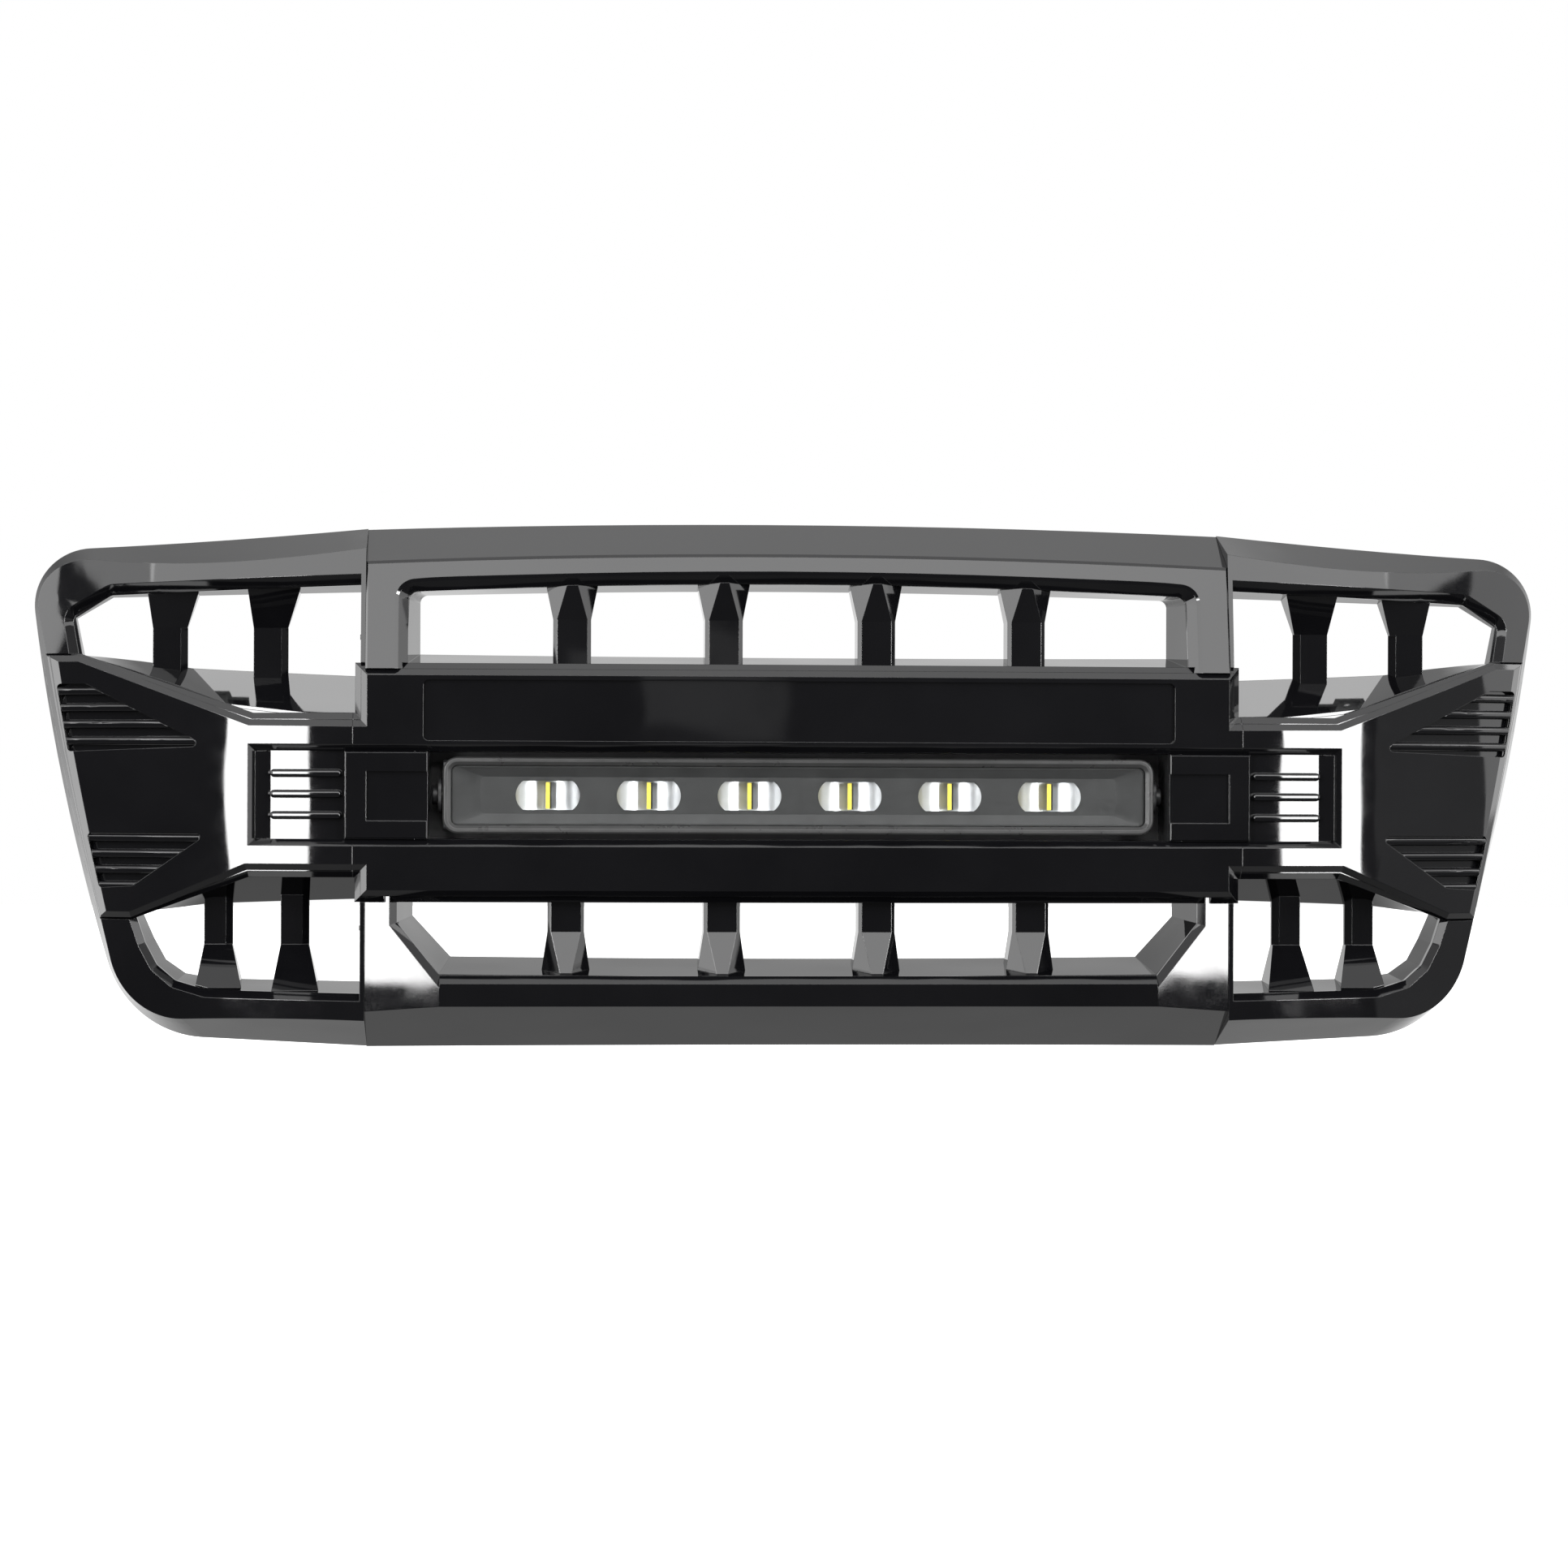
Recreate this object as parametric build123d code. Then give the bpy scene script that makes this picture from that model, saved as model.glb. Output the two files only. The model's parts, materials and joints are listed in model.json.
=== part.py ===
from build123d import *
import math
import os

# Front grille for a pickup truck: a gloss-black moulded grille with a raised centre section, two
# swept-back wings and a bow-tie crossbar that carries a six-lamp light bar on two pivots.
# Millimetres. +X runs from left to right as seen from in front, +Z is up, the face looks along -Y.
# The pieces are drawn with y = 0 at the foremost point of the face. write_part() then moves each
# one back by MOUNT_PLANE, so that the origin is the centre of the four rear fixing holes.

# Face surface: an arc in plan, swept back in the wings, leaning back above LEAN_START.
CENTRE_HALF = 310.0
CENTRE_RADIUS = 6600.0
WING_RADIUS = 630.0
WING_END = 620.0
LEAN = 0.21
WING_LEAN = 0.12
LEAN_START = 79.0
REACH = 260.0
FAR = 240.0

# Rear edge of the shell, an arc in plan.
REAR_MID = 66.0
REAR_END = 97.0
REAR_END_X = 580.0

# The flanks are ruled between an outline at NOSE_Y and a larger one at TAIL_Y.
NOSE_Y = -25.0
TAIL_Y = 105.0
CENTRE_NOSE = dict(half=321.0, crown=145.8, top=135.5, keel=-151.7, low=-148.5)
CENTRE_TAIL = dict(half=321.0, crown=216.0, top=205.2, keel=-215.5, low=-212.2)
WING_INNER_X = 300.0
WING_NOSE = dict(inner=(160.0, -161.9), top=(515.5, 112.4), waist=(508.4, 22.7), low=(494.3, -150.9),
                 top_radius=22.0, low_radius=25.0)
WING_TAIL = dict(inner=(202.0, -209.8), top=(579.5, 177.3), waist=(557.5, 22.7), low=(497.5, -194.2),
                 top_radius=47.0, low_radius=90.0)

# Levels and thicknesses, measured back from the face surface.
SKIN = 3.0
EDGE = 4.5
CROSSBAR_STEP = 6.0
# Width of the wall behind the face's edge, which joins it to the second step.
FACE_RIM = 4.3
CROSSBAR_DEPTH = 18.0
ARM_X = 330.0
RAIL_LEVEL = 7.0
RAIL_DEPTH = 12.0
BEZEL_DEPTH = 11.0
BEVEL = 8.0
LOW_BEVEL = 5.5
WALL = 2.6
SEAM_X = 321.0
EDGE_CHAMFER = 1.5
BAY_LEVEL = 8.0
BAY_RIM = 7.0
BAY_SCREW_OFFSET = 4.9

# Crossbar outline, right half, from the top centre line to the bottom centre line.
BOW_TIE = [(324.0, 83.5), (324.0, 45.5), (405.5, 46.0), (533.5, 93.5), (600.0, 94.0),
           (600.0, -100.0), (494.0, -100.5), (408.0, -64.5), (324.0, -64.5), (324.0, -83.5)]

# Second step of the crossbar's outline, behind the face.
BOW_STEP = [(328.5, 88.0), (328.5, 51.0), (403.5, 51.0), (533.5, 95.0), (600.0, 95.5),
            (600.0, -101.5), (494.0, -102.0), (406.5, -70.0), (328.5, -70.0), (328.5, -88.0)]

# Window edges in the front plates, after their bevels.
WINDOW_CORNER = 6.0
UPPER_EDGE = dict(half=290.0, top=140.7, crown=148.0, bottom=60.0)
LOWER_EDGE = [(297.4, -60.0), (297.4, -103.0), (266.0, -142.0)]
WING_UPPER_EDGE = [(310.0, 146.2), (511.0, 138.6), (540.0, 122.5), (533.0, 84.0), (310.0, 84.0)]
WING_LOWER_EDGE = [(310.0, -90.0), (494.0, -90.0), (484.0, -119.0), (475.0, -135.5), (461.0, -147.0),
                   (438.0, -153.5), (310.0, -155.8)]

# Drafted window tunnels: outlines at TUNNEL_NEAR and at TUNNEL_FAR.
TUNNEL_NEAR = 5.0
TUNNEL_FAR = 110.0
UPPER_NEAR = dict(half=293.6, top=141.3, crown=150.0, bottom=84.5)
UPPER_FAR = dict(half=274.5, top=139.0, crown=139.5, bottom=103.2)
LOWER_NEAR = [(300.5, -84.0), (300.5, -104.0), (268.3, -143.5)]
LOWER_FAR = [(278.4, -92.0), (278.4, -96.5), (252.3, -121.0)]
WING_UPPER_NEAR = [(310.0, 149.6), (511.0, 146.3), (543.0, 125.0), (534.0, 84.0), (404.0, 38.0),
                   (310.0, 38.0)]
WING_UPPER_FAR = [(310.0, 138.4), (511.0, 135.0), (536.5, 121.0), (531.7, 97.0), (470.0, 103.0),
                  (310.0, 103.0)]
WING_LOWER_NEAR = [(310.0, -54.0), (404.0, -54.0), (502.0, -94.0), (493.8, -125.0), (483.7, -141.0),
                   (467.0, -154.0), (441.7, -160.4), (310.0, -159.0)]
WING_LOWER_FAR = [(310.0, -106.0), (455.0, -106.0), (484.0, -98.0), (475.0, -113.6), (466.2, -130.0),
                  (452.0, -139.0), (431.5, -141.3), (310.0, -143.0)]
LOWER_CORNER_X = 266.0
LOWER_CORNER_SWEEP = 8.5

# Ribs: places along the grille, and the sizes of each kind. A wing rib's place goes with its lean.
UPPER_RIBS = (-169.2, -56.8, 56.8, 169.2)
LOWER_RIBS = (-173.1, -57.6, 57.6, 173.1)
WING_UPPER_RIBS = ((395.5, 38.0), (470.5, 25.0))
WING_LOWER_RIBS = ((376.7, 37.0), (433.6, 29.0))
UPPER_RIB = dict(foot=80.0, crease=121.0, crown=160.0, narrow=14.0, wide=22.0, level=12.0, lean=10.0,
                 depth=36.0, nose=0.9)
LOWER_RIB = dict(foot=-80.0, crease=-110.0, crown=-160.0, narrow=13.5, wide=21.0, level=12.0, lean=10.0,
                 depth=36.0, nose=0.9)
WING_UPPER_RIB = dict(foot=40.0, crease=115.0, crown=165.0, inner=10.3, outer=10.3, inner_crown=33.0,
                      outer_crown=16.0, level=14.0, bevel=5.0)
WING_LOWER_RIB = dict(foot=-50.0, crease=-121.0, crown=-165.0, inner=8.0, outer=8.0, inner_crown=24.0,
                      outer_crown=15.0, level=14.0, bevel=5.0)

# Badge recess in the crossbar.
BADGE_HALF = 278.3
BADGE_Z = (30.9, 75.5)
BADGE_CORNER = 4.0
BADGE_PLATE = 2.5

# Bay for the light bar, its end panels and its covers.
BAY_HALF = 402.0
BAY_Z = (-41.7, 23.1)
BAY_BORDER = 5.0
COVER_X = (275.0, 336.0)
COVER_LEVEL = 1.0
NOTCH_X = 320.1
NOTCH_Z = (-28.3, 8.2)
NOTCH_DEPTH = 3.5
PANEL_RIB_X = 390.4
PANEL_RIB_Z = (6.6, -8.6, -24.3)
PANEL_RIB = 5.6
RAMP_X = 401.7
RAMP_LEVEL = 3.0
COVER_GAP = 0.2
TRAY_BACK = 60.0
TRAY_WALL = 2.5
TRAY_FLANGE = 32.0

# Gills in the crossbar's arms: opening, first slat height, pitch.
UPPER_GILL = [(551.4, 72.5), (529.0, 72.5), (436.6, 26.2), (542.3, 22.3)]
LOWER_GILL = [(527.4, -38.0), (435.6, -37.7), (492.5, -77.0), (517.8, -78.4)]
GILL_CORNER = 3.0
GILL_LEVEL = 8.0
SLAT_LEVEL = 1.0
SLAT = 6.4
SLAT_ROUND = 2.8
SLAT_COUNT = 4
SLAT_REACH = (400.0, 570.0)
GILL_GAP = 0.3
GILL_FLANGE = 3.5
GILL_PLATE = 2.0

# Light bar.
BAR_HALF = 264.1
BAR_Z = -9.15
BAR_HEIGHT = 56.3
BAR_CORNER = 11.0
BAR_FRONT = 16.0
BAR_RIM = 6.0
BAR_BODY_FRONT = 26.0
BAR_BODY_BACK = 42.0
FIN_BACK = 51.0
FIN_COUNT = 7
FIN = 2.0
END_CAP = 4.0
LAMP_COUNT = 6
LAMP_PITCH = 74.7
LAMP_WIDTH = 47.4
LAMP_HEIGHT = 21.4
LAMP_STRAIGHT = 18.2
LED_HALF = 9.8
BLADE_DEPTH = 9.0
REFLECTOR = 1.2
REFLECTOR_DEPTH = 10.0
LENS = 2.0
FACE_BORDER = 21.4
FACE_LEVEL = 23.0
FACE_PLATE = 1.5
FACE_LIP = 1.5
FACE_SLOPE = 7.0
FACE_END_SLOPE = 20.0
FACE_CORNER = 4.0
LED_BOARD = 1.6
LENS_FRONT = 19.0
GASKET = 1.0
GLAND_X = 190.0
PIVOT_Y = 36.0
PIVOT_RADIUS = 4.0
PIVOT_CLEARANCE = 0.06
BRACKET = 2.5
BRACKET_GAP = 1.0

# Rear fixings. The hat-shaped brackets stand on bosses of the wing frames.
MOUNT_X = 440.0
MOUNT_Z = 162.0
MOUNT_PLANE = 97.0
MOUNT_HOLE = 3.3
BRACKET_PLATE = 2.5
HAT_RISE = 4.5
HAT_HALF = 11.0
FOOT_X = 19.0
HAT_WIDTH = 18.0
BOSS = 5.5
PILOT = 2.05
SEAM_WALL = 3.5
SEAM_SCREW_LENGTH = 8.0
SEAM_SCREWS = [(52.0, 108.0), (58.0, 158.0), (45.0, -108.0), (45.0, -158.0)]
CLIP_X = 113.0
CLIP_Z = (168.0, -163.0)
CLIP_BACK = 62.0
CLIP_BOSS = 7.0

PARTS = "parts"
os.makedirs(PARTS, exist_ok=True)


def sweep_back(x):
    """Depth of the face surface at x, below the leaning zone."""
    x = abs(x)
    if x <= CENTRE_HALF:
        return CENTRE_RADIUS - math.sqrt(CENTRE_RADIUS ** 2 - x ** 2)
    slope = CENTRE_HALF / CENTRE_RADIUS
    cosine = math.sqrt(1 - slope ** 2)
    centre_x = CENTRE_HALF - WING_RADIUS * slope
    drop = WING_RADIUS * cosine - math.sqrt(WING_RADIUS ** 2 - (x - centre_x) ** 2)
    return CENTRE_RADIUS * (1 - cosine) + drop


def face_depth(x, z, lean=LEAN):
    """Depth of the face surface at x and z."""
    return sweep_back(x) + lean * max(0.0, z - LEAN_START)


def wing_depth(x, z):
    """Depth of the wings' surface, which leans less."""
    return face_depth(x, z, WING_LEAN)


def both_sides(right_half):
    """A closed outline from its right half, listed from the top to the bottom."""
    return right_half + [(-x, z) for x, z in reversed(right_half)]


def polygon(points, radius=0.0):
    """A filled outline, with every corner rounded if radius is given."""
    shape = make_face(Polyline(*points, close=True))
    return fillet(shape.vertices(), radius) if radius else shape


def rectangle(x0, x1, z0, z1, radius=0.0):
    """A filled rectangle between two corners."""
    return polygon([(x0, z0), (x1, z0), (x1, z1), (x0, z1)], radius)


def grown(points, amount):
    """An outline with every side moved outward by amount and its corners kept sharp."""
    area = sum(x0 * z1 - x1 * z0 for (x0, z0), (x1, z1) in zip(points, points[1:] + points[:1]))
    turn = 1 if area > 0 else -1
    moved = []
    for (xa, za), (xb, zb), (xc, zc) in zip(points[-1:] + points[:-1], points, points[1:] + points[:1]):
        before, after = math.hypot(xb - xa, zb - za), math.hypot(xc - xb, zc - zb)
        n0 = (turn * (zb - za) / before, -turn * (xb - xa) / before)
        n1 = (turn * (zc - zb) / after, -turn * (xc - xb) / after)
        share = amount / (1 + n0[0] * n1[0] + n0[1] * n1[1])
        moved.append((xb + share * (n0[0] + n1[0]), zb + share * (n0[1] + n1[1])))
    return moved


def at_depth(y, sketch):
    """A sketch drawn in front view, placed on the plane at depth y."""
    return Plane.XZ.offset(-y) * sketch


def prism(sketch, near=-REACH, far=REACH):
    """A front-view sketch carried straight back from near to far."""
    return extrude(at_depth(far, sketch), amount=far - near)


def funnel(front, rear, near, far):
    """A ruled solid from the front sketch at near to the rear sketch at far."""
    return loft([at_depth(near, front), at_depth(far, rear)], ruled=True)


def plan_prism(points, low=-REACH, high=REACH):
    """A plan-view outline carried straight up from low to high."""
    return extrude(Pos(0, 0, low) * make_face(Polyline(*points, close=True)), amount=high - low)


def side_prism(points, x0, x1):
    """A side-view outline of (y, z) points carried along X from x0 to x1."""
    outline = Polyline(*[(x0, y, z) for y, z in points], close=True)
    return extrude(make_face(outline), amount=x1 - x0, dir=(1, 0, 0))


def block(x0, x1, y0, y1, z0, z1):
    """A box between two corners."""
    centre = Pos((x0 + x1) / 2, (y0 + y1) / 2, (z0 + z1) / 2)
    return centre * Box(abs(x1 - x0), abs(y1 - y0), abs(z1 - z0))


def rod(radius, x, y, z, length, direction=(0, 1, 0)):
    """A cylinder whose near end is at x, y, z."""
    return Plane(origin=(x, y, z), z_dir=direction) * extrude(Circle(radius), amount=length)


def behind(depth, lean=LEAN):
    """Everything behind the face surface moved back by depth; the crossbar's surface has no lean."""
    def point(x):
        return (x, sweep_back(x) + depth)
    mid = (CENTRE_HALF + WING_END) / 2
    arcs = [ThreePointArc(point(-WING_END), point(-mid), point(-CENTRE_HALF)),
            ThreePointArc(point(-CENTRE_HALF), point(0), point(CENTRE_HALF)),
            ThreePointArc(point(CENTRE_HALF), point(mid), point(WING_END))]
    back = Polyline(point(WING_END), (WING_END, FAR), (-WING_END, FAR), point(-WING_END))
    plan = make_face([*arcs, *back.edges()])
    rise = Vector(0, lean, 1)
    lower = extrude(Pos(0, 0, -REACH) * plan, amount=REACH + LEAN_START)
    upper = extrude(Pos(0, 0, LEAN_START) * plan, amount=(REACH - LEAN_START) * rise.length, dir=rise)
    return lower + upper


def skin(near, far, lean=LEAN):
    """The layer between two levels behind the face surface."""
    return behind(near, lean) - behind(far, lean)


def upright_skin(near, far):
    """The layer between two levels behind the crossbar's surface, which has no lean."""
    return skin(near, far, lean=0.0)


def ahead_of_rear(trim=0.0):
    """Everything ahead of the shell's rear edge."""
    end = REAR_END - trim
    arc = ThreePointArc((-REAR_END_X, end), (0, REAR_MID - trim), (REAR_END_X, end))
    front = Polyline((REAR_END_X, end), (REAR_END_X, -REACH), (-REAR_END_X, -REACH), (-REAR_END_X, end))
    return extrude(Pos(0, 0, -REACH) * make_face([arc, *front.edges()]), amount=2 * REACH)


def centre_outline(half, crown, top, keel, low, wall=0.0):
    """Front-view outline of the centre section, arched at the top and the bottom."""
    edges = [ThreePointArc((-half, top - wall), (0, crown - wall), (half, top - wall)),
             Line((half, top - wall), (half, low + wall)),
             ThreePointArc((half, low + wall), (0, keel + wall), (-half, low + wall)),
             Line((-half, low + wall), (-half, top - wall))]
    return make_face(edges)


def wing_outline(inner, top, waist, low, top_radius, low_radius, wall=0.0):
    """Front-view outline of the right wing, moved in by wall."""
    inner_top, inner_low = (WING_INNER_X, inner[0] - wall), (WING_INNER_X, inner[1] + wall)
    top = (top[0] - wall, top[1] - wall)
    waist = (waist[0] - wall, waist[1])
    low = (low[0] - wall, low[1] + wall)
    edges = [Line(inner_top, top), ThreePointArc(top, waist, low), Line(low, inner_low),
             Line(inner_low, inner_top)]
    face = make_face(edges)
    top_corner = [v for v in face.vertices() if math.dist((v.X, v.Y), top) < 1]
    face = fillet(top_corner, top_radius - wall)
    low_corner = [v for v in face.vertices() if math.dist((v.X, v.Y), low) < 1]
    return fillet(low_corner, low_radius - wall)


def centre_body(wall=0.0):
    """The solid inside the centre section's flanks."""
    nose = centre_outline(**CENTRE_NOSE, wall=wall)
    tail = centre_outline(**CENTRE_TAIL, wall=wall)
    return funnel(nose, tail, NOSE_Y, TAIL_Y)


def wing_body(wall=0.0):
    """The solid inside the right wing's flanks."""
    nose = wing_outline(**WING_NOSE, wall=wall)
    tail = wing_outline(**WING_TAIL, wall=wall)
    return funnel(nose, tail, NOSE_Y, TAIL_Y)


def front_edges(shape, level, depth=face_depth, inside=lambda point: True):
    """Edges of a shape that lie on the face surface moved back by level, seams left out."""
    found = []
    for edge in shape.edges():
        points = [edge.position_at(t) for t in (0.05, 0.5, 0.95)]
        if all(abs(abs(p.X) - CENTRE_HALF) < 0.1 for p in points):
            continue
        if all(abs(p.Y - depth(p.X, p.Z) - level) < 0.6 for p in points) and inside(points[1]):
            found.append(edge)
    return found


def upright_depth(x, z):
    """Depth of the crossbar's surface, which has no lean."""
    return sweep_back(x)


def mirrored(shape):
    """The same piece for the left side."""
    return mirror(shape, about=Plane.YZ)


def rest_of(shape):
    """The largest solid of a shape, without slivers left by a cut."""
    return max(shape.solids(), key=lambda solid: solid.volume)


def arched(half, top, crown, bottom, grow=0.0):
    """A window outline with an arched top edge."""
    half, top, crown, bottom = half + grow, top + grow, crown + grow, bottom - grow
    edges = [ThreePointArc((-half, top), (0, crown), (half, top)), Line((half, top), (half, bottom)),
             Line((half, bottom), (-half, bottom)), Line((-half, bottom), (-half, top))]
    face = make_face(edges)
    return fillet([v for v in face.vertices() if abs(v.Y - top) < 1], WINDOW_CORNER)


def crossbar_hull():
    """The whole space that the crossbar takes, face to back."""
    face = prism(polygon(both_sides(BOW_TIE))) & upright_skin(-1, CROSSBAR_STEP)
    return face + (prism(polygon(both_sides(BOW_STEP))) & upright_skin(CROSSBAR_STEP, CROSSBAR_DEPTH))


def whole_body(wall=0.0):
    """The solid inside all the flanks: both wings and the centre."""
    wing = wing_body(wall)
    return wing + mirrored(wing) + block(-SEAM_X, SEAM_X, -REACH, REACH, -REACH, REACH)


def window_space(front, rear):
    """The open space of one window, as a drafted solid."""
    return funnel(polygon(front), polygon(rear), TUNNEL_NEAR, TUNNEL_FAR)


def chord_zones(depth):
    """What lies behind the right wing's surface, in flat chords: below and above the leaning zone."""
    stations = (300, 360, 420, 480, 540, 600)
    front = [(x, sweep_back(x) + depth) for x in stations]
    plan = make_face(Polyline(*front, (stations[-1], FAR), (stations[0], FAR), close=True))
    rise = Vector(0, WING_LEAN, 1)
    lower = extrude(Pos(0, 0, -REACH) * plan, amount=REACH + LEAN_START)
    upper = extrude(Pos(0, 0, LEAN_START) * plan, amount=(REACH - LEAN_START) * rise.length, dir=rise)
    return lower, upper


def tunnel(front, rear, near_level):
    """The thin walls round one wing window, from near_level to the shell's rear edge."""
    walls = window_space(grown(front, WALL), grown(rear, WALL)) - window_space(front, rear)
    walls &= ahead_of_rear(4.0)
    pieces = [walls & zone for zone in chord_zones(near_level)]
    return sum([piece for piece in pieces if piece], Part())


def rail(window, bevel, low, high):
    """Front band of the right wing between two heights, with a bevelled window edge."""
    zone = block(SEAM_X, REACH * 3, -REACH, REACH, low, high)
    band = wing_body() & zone & skin(RAIL_LEVEL, RAIL_LEVEL + RAIL_DEPTH, WING_LEAN)
    band -= prism(polygon(window, WINDOW_CORNER))
    edges = front_edges(band, RAIL_LEVEL, wing_depth, lambda p: p.X > SEAM_X + 3 and is_inside(p, window))
    return chamfer(edges, bevel)


def wing_frame():
    """Right wing: flank, rails with bevelled inner edges and the two drafted window tunnels."""
    body = wing_body()
    seam = block(SEAM_X, REACH * 3, -REACH, REACH, -REACH, REACH)
    flank = (body - wing_body(SKIN)) & behind(RAIL_LEVEL, WING_LEAN) & ahead_of_rear()
    level = RAIL_LEVEL + RAIL_DEPTH - 5.0
    walls = tunnel(WING_UPPER_NEAR, WING_UPPER_FAR, level) + tunnel(WING_LOWER_NEAR, WING_LOWER_FAR, level)
    rails = rail(WING_UPPER_EDGE, BEVEL, 93.0, REACH)
    rails += rail(WING_LOWER_EDGE, LOW_BEVEL, -REACH, -98.0)
    rails &= ahead_of_rear()
    seam_wall = block(SEAM_X, SEAM_X + SEAM_WALL, -REACH, REACH, -REACH, REACH)
    seam_wall &= body & behind(RAIL_LEVEL, WING_LEAN) & ahead_of_rear()
    places = [place for place in mount_screw_places() if place[0] > 0]
    starts = [wing_depth(x, z) + RAIL_LEVEL + RAIL_DEPTH - 4 for x, z in places]
    boss_end = MOUNT_PLANE - HAT_RISE - BRACKET_PLATE
    bosses = [rod(BOSS, x, y, z, boss_end - y) & body for (x, z), y in zip(places, starts)]
    bores = [rod(PILOT, x, boss_end - 12.0, z, REACH) for x, z in places]
    shell = (flank + (walls & body)) & seam
    return (rails + shell + seam_wall + bosses) - crossbar_hull() - bores - seam_bores()


def is_inside(point, outline, margin=2.0):
    """Whether a point lies on or within a margin of an outline's edges."""
    pairs = zip(outline, outline[1:] + outline[:1])
    for (x0, z0), (x1, z1) in pairs:
        length = math.hypot(x1 - x0, z1 - z0)
        along = ((point.X - x0) * (x1 - x0) + (point.Z - z0) * (z1 - z0)) / length
        across = abs((point.X - x0) * (z1 - z0) - (point.Z - z0) * (x1 - x0)) / length
        if across < margin and -margin < along < length + margin:
            return True
    return False


def mount_screw_places():
    """Where the two screws of each mounting bracket go, as (x, z)."""
    return [(side * (MOUNT_X + foot), z) for side in (-1, 1) for z in (MOUNT_Z, -MOUNT_Z)
            for foot in (-FOOT_X, FOOT_X)]


def seam_bores(radius=PILOT):
    """Holes across both seams for the screws that join the bezels to the wing frames."""
    length = 30.0
    return [rod(radius, side * SEAM_X - length / 2, y, z, length, (1, 0, 0))
            for side in (-1, 1) for y, z in SEAM_SCREWS]


def screw(x, y, z, length, shank=2.0, head=4.2, rise=2.6, direction=(0, -1, 0)):
    """A pan-head screw: its head stands on x, y, z and its shank runs along direction."""
    plane = Plane(origin=(x, y, z), z_dir=direction)
    shape = plane * extrude(Circle(shank), amount=length) + plane * extrude(Circle(head), amount=-rise)
    crown = shape.edges().filter_by(GeomType.CIRCLE).filter_by(lambda e: abs(e.radius - head) < 0.01)
    top = [edge for edge in crown if (edge.arc_center - Vector(x, y, z)).length > rise / 2]
    shape = fillet(top, rise * 0.4)
    recess = Plane(origin=Vector(x, y, z) - Vector(*direction) * rise, z_dir=direction)
    cross = recess * extrude(Rectangle(head, head * 0.24) + Rectangle(head * 0.24, head), amount=rise * 0.55)
    return shape - cross


def wall_pair(z_low, z_high):
    """Thin side walls of a centre bezel beside both seams."""
    wall = block(SEAM_X - SKIN, SEAM_X, -REACH, REACH, z_low, z_high)
    return wall + mirrored(wall)


def clip_bosses(z, start, body):
    """Bosses on the back of a centre bezel for its retaining clips."""
    return [rod(CLIP_BOSS, side * CLIP_X, start, z, CLIP_BACK - start) & body for side in (-1, 1)]


def upper_bezel():
    """Raised upper frame of the centre section, with its cap and drafted window tunnel."""
    zone = block(-SEAM_X, SEAM_X, -REACH, REACH, LEAN_START + 1, REACH)
    body = centre_body() & zone
    plate = (body & skin(0, BEZEL_DEPTH)) - prism(arched(**UPPER_EDGE))
    window = [edge for edge in front_edges(plate, 0, inside=lambda p: abs(p.X) < 295 and p.Z < 150)
              if edge.bounding_box().size.length > 20]
    plate = chamfer(window, BEVEL)
    flank = (body - centre_body(SKIN)) & behind(0) & ahead_of_rear()
    sides = wall_pair(LEAN_START, REACH) & body & behind(0) & ahead_of_rear(6.0)
    walls = funnel(arched(**UPPER_NEAR, grow=WALL), arched(**UPPER_FAR, grow=WALL), TUNNEL_NEAR, TUNNEL_FAR)
    walls -= upper_space()
    walls = walls & behind(BEZEL_DEPTH) & ahead_of_rear(4.0)
    whole = plate + flank + sides + walls + clip_bosses(CLIP_Z[0], 26.0, body)
    outer = front_edges(whole, 0, inside=lambda p: abs(p.X) > SEAM_X - 0.5 or p.Z > 155)
    whole = chamfer(outer, EDGE_CHAMFER)
    return rest_of(whole - crossbar_hull() - seam_bores() - clip_bores())


def upper_space():
    """Open space of the upper window."""
    return funnel(arched(**UPPER_NEAR), arched(**UPPER_FAR), TUNNEL_NEAR, TUNNEL_FAR)


def lower_space():
    """Open space of the lower window."""
    return window_space(both_sides(LOWER_NEAR), both_sides(LOWER_FAR))


def clip_bores():
    """Holes in the bosses for the retaining clips' stems."""
    return [rod(3.1, side * CLIP_X, 40.0, z, REACH) for side in (-1, 1) for z in CLIP_Z]


def window_edges(plate, outline, reach):
    """Front edges of a plate along a window outline, ahead of the level at reach."""
    found = []
    for edge in plate.edges():
        middle = edge @ 0.5
        if is_inside(middle, outline) and middle.Y < sweep_back(middle.X) + reach \
                and abs((edge % 0.5).Y) < 0.9 and edge.length > 15:
            found.append(edge)
    return found


def lower_corner():
    """Plan outline of the right corner of the lower bezel, which is swept back."""
    x0, x1, y0 = LOWER_CORNER_X, SEAM_X + 5, sweep_back(LOWER_CORNER_X)
    y1 = sweep_back(x1) + LOWER_CORNER_SWEEP
    return [(x0, y0), (x1, y1), (x1, y1 + BEZEL_DEPTH), (x0, y0 + BEZEL_DEPTH)]


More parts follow.
